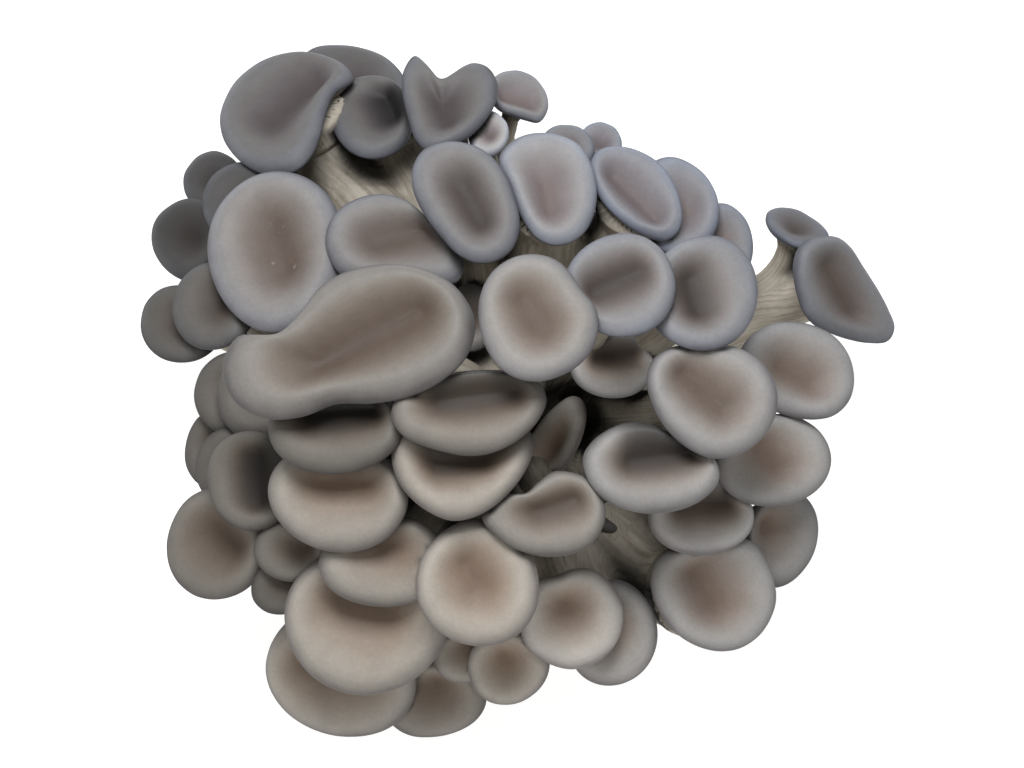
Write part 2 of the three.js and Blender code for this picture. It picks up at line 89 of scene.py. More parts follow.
# Its gills, each a crest and two points of a groove, with where each of four in turn starts. They deepen
# from the lip, grow shallower towards the stalk and run a little way down it.
GILLS = 96
GILL_SECTION = [1.0, 0.0, 0.0]
GILL_STARTS = [0.0, 0.72, 0.5, 0.72]
GILL_DEPTH = 1.9 * MM
GILL_DEEPENING = (-0.02, 0.22)
GILL_SHALLOWING = 0.45
GILL_GROOVE = 0.75
GILL_TAPER = (-0.02, 0.1)
GILL_BULGE = 0.3 * MM
LONG_GILL = 0.6
UNDER_ROWS = 9
WIDEST_DISC = 0.68
NECK_ROWS = 6
NECK_SHADE_STEP = 12
NECK_START = 0.03
NECK_LENGTH = 0.55
NECK_GILL = 0.6 * MM
NECK_COLLAR = 0.5 * MM
NECK_SINK = 0.35 * MM

# Where the gills, the neck and its tip lie on the scale that the skin's colours start.
GILL_MARK = 1.2
NECK_MARK = 2.3
NECK_MARK_SPAN = 0.5
TIP_MARK = 3.0

# The butt, as rings of shares of its height and radius. Its lumps fade out above half its height, and
# what lies lowest is pressed flat as the cut face.
BUTT_RADIUS = 58 * MM
BUTT_HEIGHT = 58 * MM
BUTT_RINGS = [(0.99, 0.2), (0.94, 0.42), (0.86, 0.6), (0.76, 0.74), (0.62, 0.88), (0.48, 0.97), (0.38, 1.0),
              (0.22, 0.96), (0.08, 0.88), (0.0, 0.85)]
BUTT_SIDES = 48
BUTT_WAVE = 0.05
BUTT_LUMP = 0.9 * MM
LUMP_RADIANS_PER_MM = (0.45, 0.5, 0.6)
LUMP_START = 0.5
BUTT_REACH = 1.15
BASE_FLATTEN = 0.8 * MM

# The stalks, as they leave the butt and end under the caps. Some are thicker than the rest.
STALK_BEND = 0.45
STALK_RISE = 0.5
HEART_HEIGHT = 0.35
FOOT_SPREAD = np.array([0.62, 0.62, 0.35])
STALK_STEPS = [0, 0.12, 0.35, 0.65, 1]
STALK_FLARE = [0.98, 0.92, 1, 1.25, 1.5]
STALK_ROWS = 26
STALK_SIDES = 20
STALK_OVAL = 0.05
STALK_LOBES = 0.04
STALK_TWIST = 5
THICKER = {7: 1.4, 8: 1.5, 9: 1.5, 27: 2, 31: 2.7, 33: 1.5, 39: 1.5, 49: 2.4, 50: 2.2, 52: 1.9, 53: 1.3,
           54: 1.7}
VOXEL = 1.5 * MM
RELAX_SHARE = 0.5
RELAX_ROUNDS = 3

# The fibres' pattern round and along a stalk, and how far apart the stalks lie in it.
FIBRE_ROUND = 5
FIBRE_ALONG = 2
FIBRE_APART = 7
FIBRE_DEPTH = 0.6

# How the skin and flesh darken where little of the sky reaches them.
SKY_DIRECTIONS = 40
SKY_REACH = 45 * MM
SKY_START = 3.2 * MM
SHADE_COLUMNS = 24
SHADE_ROWS = [0, 0.15, 0.3, 0.45, 0.6, 0.75, 0.9, 1]
SKIN_SHADE = (0.12, 0.8)
FLESH_SHADE = (0.34, 1.0)
DARKEST = 0.04
TINY = 1e-6
HOLLOW_EDGE = 0.6
SHADED_SPREAD = (0.0, 0.9)

# Colours are sRGB from 0 to 255. The skin's scale runs from the hollow at 0 to the rim at 1. Its dark hollow
# and its darker edge are partly the skin's own colour and partly painted shade, of the hollow and of the
# rolled edge turning away from the light. Heights and places across are in pixels of the picture.
SKIN_SCALE = [
    (0.0, (92, 77, 66)),
    (0.18, (102, 87, 76)),
    (0.36, (118, 105, 95)),
    (0.5, (130, 119, 110)),
    (0.62, (138, 130, 122)),
    (0.74, (142, 136, 130)),
    (0.84, (140, 135, 130)),
    (0.92, (126, 121, 117)),
    (0.985, (98, 93, 91)),
]
# Painted light by height in the picture: a dimmer, cooler cast on the caps near the top, as of skylight from
# above, turning warmer below, and painted cool light on the edges of the caps near the top. The hollows of
# the caps near the top are cooler, and the caps to the right a little cooler.
PAINTED_COOL_CAST = np.array([0.85, 0.9, 0.99])
PAINTED_WARM_CAST = np.array([1.06, 1.05, 1.0])
PAINTED_EDGE_LIGHT = np.array([1.3, 1.4, 1.54])
COOL_HOLLOW = np.array([0.95, 1.0, 1.17])
HOLLOW_SPAN = (0.2, 0.7)
EDGE_SPAN = (0.75, 1)
COOL_HOLLOW_ABOVE = 130
WARM_HOLLOW_BELOW = 270
COOL_ABOVE = 180
WARM_BELOW = 430
RIGHT_CAST = np.array([0.95, 1.0, 1.1])
RIGHT_FROM = 500
RIGHT_TO = 650

# How light each cap's skin is: its own tone and painted shade together, with the shaded caps at the left edge
# and some others darker. How light its hollow is beside the rest of it: partly its own tone and partly
# painted shade where other caps overhang it. And the side, in degrees anticlockwise from the right of the
# picture, on which the hollow's painted shadow stays dark out to the rim.
SKIN_TONE_AND_SHADE = {
    1: 0.4, 2: 0.85, 3: 0.7, 4: 0.86, 5: 1.4, 6: 0.8, 7: 0.9, 8: 0.5, 9: 0.6, 10: 0.2, 11: 0.15, 12: 0.27,
    13: 0.3, 14: 0.35, 15: 0.3, 16: 0.3, 17: 0.3, 18: 0.5, 19: 0.35, 20: 0.3, 21: 0.5, 22: 0.45, 23: 0.8,
    25: 1.05, 26: 1.25, 27: 1.15, 29: 0.85, 30: 0.85, 31: 1.2, 32: 0.2, 33: 1.4, 35: 0.9, 36: 1.5, 37: 0.5,
    38: 0.85, 39: 1.55, 40: 1.1, 41: 0.72, 42: 0.95, 43: 0.45, 44: 0.65, 45: 0.9, 46: 2.7, 47: 0.9, 48: 0.8,
    49: 0.9, 50: 1.05, 51: 0.8, 52: 0.45, 53: 0.52, 54: 0.5, 55: 0.8, 56: 0.75, 57: 0.7, 58: 0.87, 59: 0.65,
}
# Painted shade in the hollows of caps that others overhang; above 1, a paler hollow.
HOLLOW_TONE_AND_SHADE = {
    1: 1.4, 2: 1.3, 4: 1.65, 5: 0.8, 6: 1.4, 7: 1.5, 9: 1.2, 10: 0.75, 11: 0.85, 14: 0.7, 18: 1.2, 20: 1.4,
    22: 0.2, 23: 1.25, 25: 1.3, 26: 1.4, 27: 1.7, 28: 1.2, 29: 1.35, 30: 2.1, 31: 1.3, 32: 0.2, 33: 0.4,
    34: 1.2, 35: 1.2, 38: 1.5, 39: 1.2, 41: 0.6, 42: 0.3, 43: 0.1, 44: 0.35, 45: 0.2, 46: 0.2, 47: 0.9,
    48: 0.35, 49: 1.35, 50: 1.3, 51: 0.45, 52: 0.12, 54: 1.1, 57: 0.6, 58: 0.9, 59: 0.9,
}
SHADED_SIDE = {22: 10, 33: 90, 42: 70, 43: 90, 44: 80, 45: 60, 46: 50, 52: 10}
SCARRED = (51, 55)
SCAR_CUT = 0.66
SCAR_GAIN = 6
SCAR_REACH = 0.2
SCAR_COLOUR = (140, 128, 118)

# The range that most of a noise lies in, and what brings the gills' marks into a ramp's 0 to 1.
NOISE_RANGE = (0.3, 0.7)
GILL_SCALE = 0.33


def unit(v):
    """A vector, or each row of an array, at length one."""
    return v / np.linalg.norm(v, axis=-1, keepdims=True)


def smoothstep(x, low, high):
    """0 below low, 1 above high and smooth between."""
    t = np.clip((x - low) / (high - low), 0, 1)
    return t * t * (3 - 2 * t)


def draw(index, purpose):
    """A repeatable number from 0 to 1 for a cap and a purpose."""
    x = math.sin((index + 1) * 12.9898 + purpose * 78.233) * 43758.5453
    return x - math.floor(x)


def turns(count):
    """Angles evenly round a circle."""
    return np.arange(count) / count * 2 * math.pi


def picture_point(point):
    """How far right and down the picture a point of the cluster is seen, in pixels."""
    offset = point - PIVOT
    scale = METRES_PER_PIXEL * (1 - offset @ TOWARD / VIEW_DISTANCE)
    return PICTURE_MIDDLE[0] + offset @ RIGHT / scale, PICTURE_MIDDLE[1] - offset @ UP / scale


# Reading the frame


def welded(node):
    """A node's corners, with those that coincide made one, and its triangles."""
    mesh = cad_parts[node].data
    corners = np.array([v.co for v in mesh.vertices])
    keys = np.round(corners / WELD).astype(np.int64)
    _, first, inverse = np.unique(keys, axis=0, return_index=True, return_inverse=True)
    inverse = inverse.ravel()
    return corners[first], [[inverse[i] for i in face.vertices] for face in mesh.polygons]


def walk_round(ring, neighbours):
    """The corners of a ring in order."""
    order = [min(ring)]
    while len(order) < len(ring):
        nearby = [v for v in sorted(neighbours[order[-1]]) if v in ring and v not in order]
        order.append(nearby[0])
    return order


def rings_of(node):
    """A cap node's upper pole, its rings out to the rim and back, its lower pole and the way it faces."""
    points, triangles = welded(node)
    neighbours = defaultdict(set)
    for triangle in triangles:
        for v in triangle:
            neighbours[v].update(w for w in triangle if w != v)
    poles = sorted(neighbours, key=lambda v: len(neighbours[v]))[-2:]
    top = max(poles, key=lambda v: points[v] @ TOWARD)
    under = min(poles, key=lambda v: points[v] @ TOWARD)
    face = unit(points[top] - points[under])
    ring = walk_round(neighbours[top], neighbours)
    arms = points[ring] - points[top]
    if np.cross(arms, np.roll(arms, -1, axis=0)).sum(axis=0) @ face < 0:
        ring.reverse()
    seen = {top, *ring}
    rings = [points[ring]]
    while under not in neighbours[ring[0]]:
        ring = [min((neighbours[a] & neighbours[b]) - seen) for a, b in zip(ring[-1:] + ring[:-1], ring)]
        seen.update(ring)
        rings.append(points[ring])
    return points[top], rings, points[under], face


def round_curve(ring, count):
    """Values evenly round the smooth closed curve through a ring's values."""
    k = len(ring)
    t = np.arange(count) * k / count
    i = np.floor(t).astype(int)
    f = (t - i).reshape(-1, *[1] * (ring.ndim - 1))
    p0, p1, p2, p3 = (ring[(i + step) % k] for step in (-1, 0, 1, 2))
    return 0.5 * (2 * p1 + (p2 - p0) * f + (2 * p0 - 5 * p1 + 4 * p2 - p3) * f ** 2
                  + (3 * p1 - p0 - 3 * p2 + p3) * f ** 3)


def softened(row, rounds):
    """A row with its corners rounded off along it."""
    for _ in range(rounds):
        row = (np.roll(row, 1, axis=0) + 2 * row + np.roll(row, -1, axis=0)) / 4
    return row


def farthest_pair(points):
    """The two of some points that are farthest apart."""
    gaps = np.linalg.norm(points[:, None] - points[None], axis=2)
    return points[list(np.unravel_index(gaps.argmax(), gaps.shape))]


def nearest_between(ends, points):
    """The place on the line between two ends that is nearest to each point."""
    along = ends[1] - ends[0]
    share = np.clip((points - ends[0]) @ along / max(along @ along, SAME_POINT ** 2), 0, 1)
    return ends[0] + share[:, None] * along


def top_height(rho):
    """Height of a cap's upper face above its plane, as a share of its mean radius."""
    hollow = -HOLLOW_DEPTH * (1 - smoothstep(rho, 0, SHOULDER))
    roll = -ROLL_DEPTH * np.clip((rho - SHOULDER) / (1 - SHOULDER), 0, None) ** 2
    return hollow + roll


class Cap:
    """One cap's own frame, rim and hollow's two ends, read from its node."""

    def __init__(self, index):
        self.index = index
        self.node = f"cap_{index:02d}"
        self.top, rings, self.under, self.face = rings_of(self.node)
        self.radius = np.linalg.norm(self.top - self.under) / CENTRE_THICKNESS
        self.middle = self.top + self.face * HOLLOW_DEPTH * self.radius
        self.across = unit(np.cross(self.face, UP))
        self.head_radius = np.linalg.norm(rings[DISC_RING] - self.under, axis=1).mean()
        self.rim, height = self.flat(rings[RIM_RING])
        self.wave = height + ROLL_DEPTH * self.radius
        inner, _ = self.flat(rings[INNER_RING])
        self.valley = farthest_pair((inner - INNER_SHARE * self.rim) / (1 - INNER_SHARE))
        self.seen = picture_point(rings[RIM_RING].mean(axis=0))

    def flat(self, points):
        """Offsets from the line over the stalk, in the cap's plane, and heights above the plane."""
        offset = points - self.middle
        height = offset @ self.face
        return offset - height[:, None] * self.face, height

    def skin(self, rho, height, count):
        """A row of points on the skin, at a share of the way from the hollow to the rim."""
        rim = round_curve(self.rim, count)
        hollow = nearest_between(self.valley, rim)
        raised = height + round_curve(self.wave, count) * rho * rho
        return self.middle + hollow + (rim - hollow) * rho + raised[:, None] * self.face

    def below(self, rho, height, count):
        """A row of points under the cap, at a share of the way from the stalk to the rim."""
        raised = height + round_curve(self.wave, count) * rho * rho
        return self.middle + round_curve(self.rim, count) * rho + raised[:, None] * self.face


class Stalk:
    """A stalk's path from under its cap into the butt."""

    def __init__(self, cap):
        self.cap = cap
        self.radius = cap.head_radius * THICKER.get(cap.index, 1)
        head = cap.under
        heart = np.array([0, 0, BUTT_HEIGHT * HEART_HEIGHT])
        outward = unit(head - heart)
        foot = heart + outward * np.array([BUTT_RADIUS, BUTT_RADIUS, BUTT_HEIGHT]) * FOOT_SPREAD
        leaving = unit(outward + np.array([0, 0, STALK_RISE]))
        self.length = np.linalg.norm(head - foot)
        bend = self.length * STALK_BEND
        self.ends = (head, head - cap.face * bend, foot + leaving * bend, foot)

    def at(self, t):
        """Middles, two sideways directions and radii at shares of the way down."""
        p0, p1, p2, p3 = self.ends
        s = t[:, None]
        middle = (1 - s) ** 3 * p0 + 3 * s * (1 - s) ** 2 * p1 + 3 * s * s * (1 - s) * p2 + s ** 3 * p3
        slope = unit((1 - s) ** 2 * (p1 - p0) + 2 * s * (1 - s) * (p2 - p1) + s * s * (p3 - p2))
        side = unit(self.cap.across - (slope @ self.cap.across)[:, None] * slope)
        return middle, side, np.cross(slope, side), self.radius * np.interp(t, STALK_STEPS, STALK_FLARE)


# How open each place is to the sky


def sky():
    """Directions spread evenly over the upper half of the sky."""
    step = np.arange(SKY_DIRECTIONS) + 0.5
    up = step / SKY_DIRECTIONS
    out = np.sqrt(1 - up * up)
    turn = step * math.pi * (3 - math.sqrt(5))
    return np.stack([out * np.cos(turn), out * np.sin(turn), up], axis=1)


def solid_tree():
    """The frame's solids, for casting rays at them."""
    points = []
    triangles = []
    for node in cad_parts.values():
        base = len(points)
        points.extend(tuple(v.co) for v in node.data.vertices)
        triangles.extend([base + i for i in face.vertices] for face in node.data.polygons)
    return BVHTree.FromPolygons(points, triangles)


SKY = sky()
SOLIDS = solid_tree()


def openness(points, normals):
    """From 0 to 1, how much of the sky's light comes to each point past what stands near it."""
    starts = [Vector(p) for p in points + normals * SKY_START]
    light = np.zeros(len(points))
    whole = np.full(len(points), TINY)
    for direction in SKY:
        aim = Vector(direction)
        weight = normals @ direction
        for i in np.flatnonzero(weight > 0):
            distance = SOLIDS.ray_cast(starts[i], aim, SKY_REACH)[3]
            whole[i] += weight[i]
            light[i] += weight[i] if distance is None else weight[i] * distance / SKY_REACH
    return light / whole


def darkening(seen, limits):
    """The share of its light that a colour keeps where it is open to the sky this far."""
    return DARKEST + (1 - DARKEST) * smoothstep(seen, *limits)


def hollow_tone_and_shade(cap, marks):
    """The share of its light that a cap's hollow leaves at each row and column: its own tone with painted
    shade, carried out to the rim as a painted shadow on a shaded side.
    """
    aside = 0
    if cap.index in SHADED_SIDE:
        rim = round_curve(cap.rim, COLUMNS)
        turn = math.radians(SHADED_SIDE[cap.index])
        aim = math.cos(turn) * RIGHT + math.sin(turn) * UP
        outward = unit(rim - nearest_between(cap.valley, rim))
        aside = softened(smoothstep(outward @ aim, *SHADED_SPREAD), SOFTENING)
    reach = np.array(marks)[:, None] * (1 - aside)
    light = HOLLOW_TONE_AND_SHADE.get(cap.index, 1)
    return light + (1 - light) * smoothstep(reach, 0, HOLLOW_EDGE)


def shade_rows(cap, marks):
    """The share of its light that a cap's skin keeps at each column of its rows."""
    rows = [cap.skin(rho, cap.radius * top_height(rho), SHADE_COLUMNS) for rho in SHADE_ROWS]
    points = np.concatenate(rows)
    seen = openness(points, np.tile(cap.face, (len(points), 1))).reshape(len(rows), SHADE_COLUMNS)
    finer = darkening(round_curve(seen.T, COLUMNS), SKIN_SHADE)
    shade = np.stack([np.interp(marks, SHADE_ROWS, column) for column in finer], axis=1)
    return list(shade * hollow_tone_and_shade(cap, marks))


# Meshes


def strip(lower, upper):
    """Quads, or fans where one ring has more corners, between two closed rings of indices."""
    a, b = len(lower), len(upper)
    faces = []
    if a == b:
        for k in range(a):
            n = (k + 1) % a
            faces.append((lower[k], upper[k], upper[n], lower[n]))
        return faces
    step = b // a
    half = step // 2
    for k in range(a):
        n = (k + 1) % a
        for j in range(half):
            faces.append((lower[k], upper[k * step + j], upper[k * step + j + 1]))
        faces.append((lower[k], upper[k * step + half], lower[n]))
        for j in range(half, step):
            faces.append((lower[n], upper[k * step + j], upper[(k * step + j + 1) % b]))
    return faces


def new_piece(name, points, faces, materials, smooth=True):
    """A mesh object of a new piece."""
    mesh = bpy.data.meshes.new(name)
    mesh.from_pydata([tuple(p) for p in points], [], faces)
    mesh.validate()
    mesh.update()
    for material in materials:
        mesh.materials.append(material)
    mesh.polygons.foreach_set("use_smooth", [smooth] * len(mesh.polygons))
    piece = bpy.data.objects.new(name, mesh)
    bpy.context.scene.collection.objects.link(piece)
    return piece


def give(mesh, name, values):
    """Stores a number or a vector on each corner of a mesh."""
    values = np.asarray(values, dtype=np.float32)
    kind, key = ("FLOAT", "value") if values.ndim == 1 else ("FLOAT_VECTOR", "vector")
    layer = mesh.attributes.new(name, kind, "POINT")
    layer.data.foreach_set(key, values.ravel())


def closed_faces(rows):
    """The faces of a closed skin over rows of points, the first and last of them single points."""
    starts = np.cumsum([0] + [len(row) for row in rows])
    index = [list(range(a, b)) for a, b in zip(starts, starts[1:])]
    first = index[1]
    last = index[-2]
    faces = [(0, first[k], first[(k + 1) % len(first)]) for k in range(len(first))]
    for lower, upper in zip(index[1:-2], index[2:-1]):
        faces += strip(lower, upper)
    faces += [(last[k], index[-1][0], last[(k + 1) % len(last)]) for k in range(len(last))]
    return faces


# The caps


def skin_rows(cap):
    """Rows from the hollow over the skin and round its edge, with their marks on the colour scale."""
    theta = turns(COLUMNS)
    rows = [cap.top[None]]
    marks = [0.0]
    for rho in TOP_ROWS:
        ripple = 0
        for waves, twist, weight, purpose in RIPPLES:
            phase = draw(cap.index, purpose) * 2 * math.pi
            ripple = ripple + weight * np.sin(waves * theta + phase + twist * rho)
        row = cap.skin(rho, cap.radius * top_height(rho) + RIPPLE_HEIGHT * rho * ripple, COLUMNS)
        rows.append(softened(row, round(SOFTENING * (1 - rho))))
        marks.append(rho)
    for rho, drop, mark in EDGE_ROWS:
        rows.append(cap.skin(rho, cap.radius * top_height(1) - drop, COLUMNS))
        marks.append(mark)
    return rows, marks


def gill_rows(cap, stalk):
    """Rows of gills from the lip to the stalk and down it to a point, with their marks and shades."""
    crest = np.tile(GILL_SECTION, GILLS)
    start = np.repeat(np.tile(GILL_STARTS, GILLS // len(GILL_STARTS)), len(GILL_SECTION))
    fine = len(crest)
    lip = cap.radius * top_height(1) - LIP_DROP
    disc = -cap.radius * (HOLLOW_DEPTH + CENTRE_THICKNESS)
    wider = min(THICKER.get(cap.index, 1), WIDEST_DISC / DISC_SHARE)
    rows = []
    marks = []
    shades = []
    for inward in np.linspace(0, 1, UNDER_ROWS):
        rho = LIP_SHARE + (DISC_SHARE * wider - LIP_SHARE) * inward
        deep = GILL_DEPTH * smoothstep(LIP_SHARE - rho, *GILL_DEEPENING) * (1 - GILL_SHALLOWING * inward)
        reach = smoothstep(rho, start + GILL_TAPER[0], start + GILL_TAPER[1])
        bulge = GILL_BULGE * math.sin(math.pi * inward)
        height = lip + (disc - lip) * inward - bulge + deep * (GILL_GROOVE - crest * reach)
        rows.append(cap.below(rho, height, fine))
        marks.append(GILL_MARK + inward)
        shades.append(np.ones(fine))

    rim = round_curve(cap.rim, fine)
    angle = np.arctan2(rim @ np.cross(-cap.face, cap.across), rim @ cap.across)
    t = np.linspace(NECK_START, 1, NECK_ROWS) * NECK_LENGTH * cap.radius / stalk.length
    middle, side, other, radius = stalk.at(t)
    long_gill = crest * (start < LONG_GILL)
    for i, fade in enumerate(np.linspace(1, 0, NECK_ROWS)):
        flare = (cap.head_radius * wider - radius[i]) * max(0, fade - 0.5)
        raised = NECK_GILL * fade * long_gill + NECK_COLLAR * fade ** 2 - NECK_SINK * (1 - fade)
        around = np.cos(angle)[:, None] * side[i] + np.sin(angle)[:, None] * other[i]
        row = middle[i] + around * (radius[i] + flare + raised)[:, None]
        seen = openness(row[::NECK_SHADE_STEP], around[::NECK_SHADE_STEP])
        rows.append(row)
        marks.append(NECK_MARK + NECK_MARK_SPAN * (1 - fade))
        shades.append(darkening(round_curve(seen, fine), FLESH_SHADE))
    rows.append(middle[-1:])
    marks.append(TIP_MARK)
    shades.append(np.ones(1))
    return rows, marks, shades


def tone_and_light_cast_of(cap, marks):
    """A cap's cast at marks of its colour scale: painted light, cool at the picture's top and most on the
    rim, warmer below; a cooler cast at the right; and the cap's own tone and painted shade.
    """
    across, down = cap.seen
    warmth = smoothstep(down, COOL_ABOVE, WARM_BELOW)
    cast = PAINTED_COOL_CAST + (PAINTED_WARM_CAST - PAINTED_COOL_CAST) * warmth
    cast = cast * (1 + (RIGHT_CAST - 1) * smoothstep(across, RIGHT_FROM, RIGHT_TO))
    # Painted cool light on the edges of the caps near the top.
    edge = PAINTED_EDGE_LIGHT + (1 - PAINTED_EDGE_LIGHT) * warmth
    rim = smoothstep(marks, *EDGE_SPAN)[:, None]
    middle = 1 + (COOL_HOLLOW - 1) * (1 - smoothstep(down, COOL_HOLLOW_ABOVE, WARM_HOLLOW_BELOW))
    hollow = 1 - smoothstep(marks, *HOLLOW_SPAN)[:, None]
    cast = cast * (1 + (edge - 1) * rim) * (1 + (middle - 1) * hollow)
    return cast * SKIN_TONE_AND_SHADE.get(cap.index, 1)


def make_cap(cap, stalk, materials):
    """A closed cap with its skin in the first material and its gills in the second."""
    skin, skin_marks = skin_rows(cap)
    gills, gill_marks, gill_shade = gill_rows(cap, stalk)
    rows = skin + gills
    piece = new_piece(f"{cap.node}_fine", np.concatenate(rows), closed_faces(rows), materials)
    skin_faces = COLUMNS * (len(skin) - 1)
    slots = np.ones(len(piece.data.polygons), dtype=np.int32)
    slots[:skin_faces] = 0
    piece.data.polygons.foreach_set("material_index", slots)

    shade = shade_rows(cap, skin_marks)
    shade[0] = shade[0][:1]
    marks = np.concatenate([np.full(len(row), mark) for row, mark in zip(rows, skin_marks + gill_marks)])
    give(piece.data, "rho", marks)
    give(piece.data, "shade", np.concatenate(shade + gill_shade))
    give(piece.data, "tone_and_painted_light", tone_and_light_cast_of(cap, marks))
    give(piece.data, "scar", np.full(len(marks), 1.0 if cap.index in SCARRED else 0.0))
    return piece


# The stalks and the butt in one body


def tube_rows(stalk):
    """A stalk's rows, slightly uneven, with a point at each end."""
    t = np.linspace(0, 1, STALK_ROWS)
    middle, side, other, radius = stalk.at(t)
    turn = turns(STALK_SIDES)
    phase = [draw(stalk.cap.index, purpose) * 2 * math.pi for purpose in (40, 41)]
    oval = STALK_OVAL * np.sin(2 * turn + phase[0])[None]
    lobes = STALK_LOBES * np.sin(3 * turn + phase[1] + STALK_TWIST * t[:, None])
    reach = radius[:, None] * (1 + oval + lobes)
    around = np.cos(turn)[None, :, None] * side[:, None] + np.sin(turn)[None, :, None] * other[:, None]
    rows = middle[:, None] + around * reach[..., None]
    return [middle[:1], *rows, middle[-1:]]


def butt_rows():
    """The butt's rows from the top down, with a point at each end."""
    turn = turns(BUTT_SIDES)
    uneven = 1 + BUTT_WAVE * (np.cos(3 * turn + 1) + np.cos(5 * turn))
    rows = []
    for up, out in BUTT_RINGS:
        reach = BUTT_RADIUS * out * uneven
        level = np.full(BUTT_SIDES, BUTT_HEIGHT * up)
        rows.append(np.stack([np.cos(turn) * reach, np.sin(turn) * reach, level], axis=1))
    return [np.array([[0, 0, BUTT_HEIGHT]]), *rows, np.zeros((1, 3))]


def fused(bodies):
    """A mesh of overlapping closed skins made one, with the seams between them smoothed."""
    points = []
    faces = []
    for rows in bodies:
        base = len(points)
        points.extend(np.concatenate(rows))
        faces.extend(tuple(base + i for i in face) for face in closed_faces(rows))
    piece = new_piece("stalks_and_butt_fine", points, faces, [])
    fuse = piece.modifiers.new("fuse", "REMESH")
    fuse.mode = "VOXEL"
    fuse.voxel_size = VOXEL
    relax = piece.modifiers.new("relax", "SMOOTH")
    relax.factor = RELAX_SHARE
    relax.iterations = RELAX_ROUNDS
    bpy.context.view_layer.update()
    shaped = bpy.data.meshes.new_from_object(piece.evaluated_get(bpy.context.evaluated_depsgraph_get()))
    piece.modifiers.clear()
    piece.data = shaped
    return piece


def corner_values(mesh, name):
    """The places or normals of a mesh's corners."""
    values = np.zeros(len(mesh.vertices) * 3)
    mesh.vertices.foreach_get(name, values)
    return values.reshape(-1, 3)


def fibre_places(stalks, corners):
    """For each corner, its place round and along the nearest stalk, so that fibres run along it."""
    best = np.full(len(corners), np.inf)
    fibre = np.zeros((len(corners), 3))
    t = np.linspace(0, 1, STALK_ROWS)
    for stalk in stalks:
        middle, side, other, radius = stalk.at(t)
        distance = np.linalg.norm(corners[:, None] - middle[None], axis=2) - radius[None] * FIBRE_DEPTH
        row = distance.argmin(axis=1)
        near = distance[np.arange(len(corners)), row]
        better = near < best
        offset = corners - middle[row]
        turn = np.arctan2((offset * other[row]).sum(axis=1), (offset * side[row]).sum(axis=1))
        along = t[row] * FIBRE_ALONG + stalk.cap.index * FIBRE_APART
        here = np.stack([np.cos(turn) * FIBRE_ROUND, np.sin(turn) * FIBRE_ROUND, along], axis=1)
        fibre[better] = here[better]
        best = np.minimum(best, near)
    return fibre


def make_stalks(stalks, material):
    """All the stalks and the butt, fused, with soft lumps on the butt and a flat cut face."""
    piece = fused([tube_rows(stalk) for stalk in stalks] + [butt_rows()])
    mesh = piece.data
    corners = corner_values(mesh, "co")
    normals = corner_values(mesh, "normal")
    out = np.linalg.norm(corners[:, :2], axis=1)
    low = 1 - smoothstep(corners[:, 2], BUTT_HEIGHT * LUMP_START, BUTT_HEIGHT)
    down = low * (out < BUTT_RADIUS * BUTT_REACH)
    x, y, z = (corners.T / MM) * np.array(LUMP_RADIANS_PER_MM)[:, None]
    lump = np.sin(x) * np.sin(y + 1) * np.sin(z + 2)
    corners = corners + normals * (down * BUTT_LUMP * lump)[:, None]
    corners[:, 2] = np.where(corners[:, 2] < BASE_FLATTEN, 0, corners[:, 2])
    mesh.vertices.foreach_set("co", corners.ravel())
    mesh.update()
    mesh.materials.clear()
    mesh.materials.append(material)
    mesh.polygons.foreach_set("use_smooth", [True] * len(mesh.polygons))
    give(mesh, "fibre", fibre_places(stalks, corners))
    give(mesh, "down", down)
    give(mesh, "shade", darkening(openness(corners, normals), FLESH_SHADE))
    return piece


# Materials


def material(name):
    """A new node material, its tree and its shader."""
    made = bpy.data.materials.new(name)
    made.use_nodes = True
    return made, made.node_tree, made.node_tree.nodes["Principled BSDF"]


def linear(value):
    """An sRGB value from 0 to 255 as linear light."""
    c = value / 255
    return c / 12.92 if c <= 0.04045 else ((c + 0.055) / 1.055) ** 2.4


def colour(value):
    """An sRGB colour with full opacity, as linear light."""
    return (*[linear(c) for c in value], 1)


def plug(tree, socket, value):
    """Links a socket to a value, or sets it where the value is a number or an sRGB colour."""
    if isinstance(value, bpy.types.NodeSocket):
        tree.links.new(value, socket)
    elif isinstance(value, tuple):
        socket.default_value = colour(value)
    else:
        socket.default_value = value


def attribute(tree, name, output="Fac"):
    """A value that the mesh carries."""
    made = tree.nodes.new("ShaderNodeAttribute")
    made.attribute_name = name
    return made.outputs[output]


def ramp(tree, factor, stops):
    """A colour ramp through stops of a position and a colour."""
    made = tree.nodes.new("ShaderNodeValToRGB")
    elements = made.color_ramp.elements
    while len(elements) < len(stops):
        elements.new(0.5)
    for element, (position, value) in zip(elements, stops):
        element.position = position
        element.color = colour(value)
    plug(tree, made.inputs[0], factor)
    return made.outputs[0]


def noise(tree, vector, scale, detail=3, roughness=0.5):
    """A noise texture's factor."""
    made = tree.nodes.new("ShaderNodeTexNoise")
    plug(tree, made.inputs["Vector"], vector)
    plug(tree, made.inputs["Scale"], scale)
    plug(tree, made.inputs["Detail"], detail)
    plug(tree, made.inputs["Roughness"], roughness)
    return made.outputs[0]


def maths(tree, operation, a, b):
    """A maths node on two sockets or numbers."""
    made = tree.nodes.new("ShaderNodeMath")
    made.operation = operation
    plug(tree, made.inputs[0], a)
    plug(tree, made.inputs[1], b)
    return made.outputs[0]


def blend(tree, kind, factor, a, b):
    """A colour mix. Each of a and b is a socket or an sRGB colour."""
    made = tree.nodes.new("ShaderNodeMix")
    made.data_type = "RGBA"
    made.blend_type = kind
    plug(tree, made.inputs[0], factor)
    plug(tree, made.inputs[6], a)
    plug(tree, made.inputs[7], b)
    return made.outputs[2]


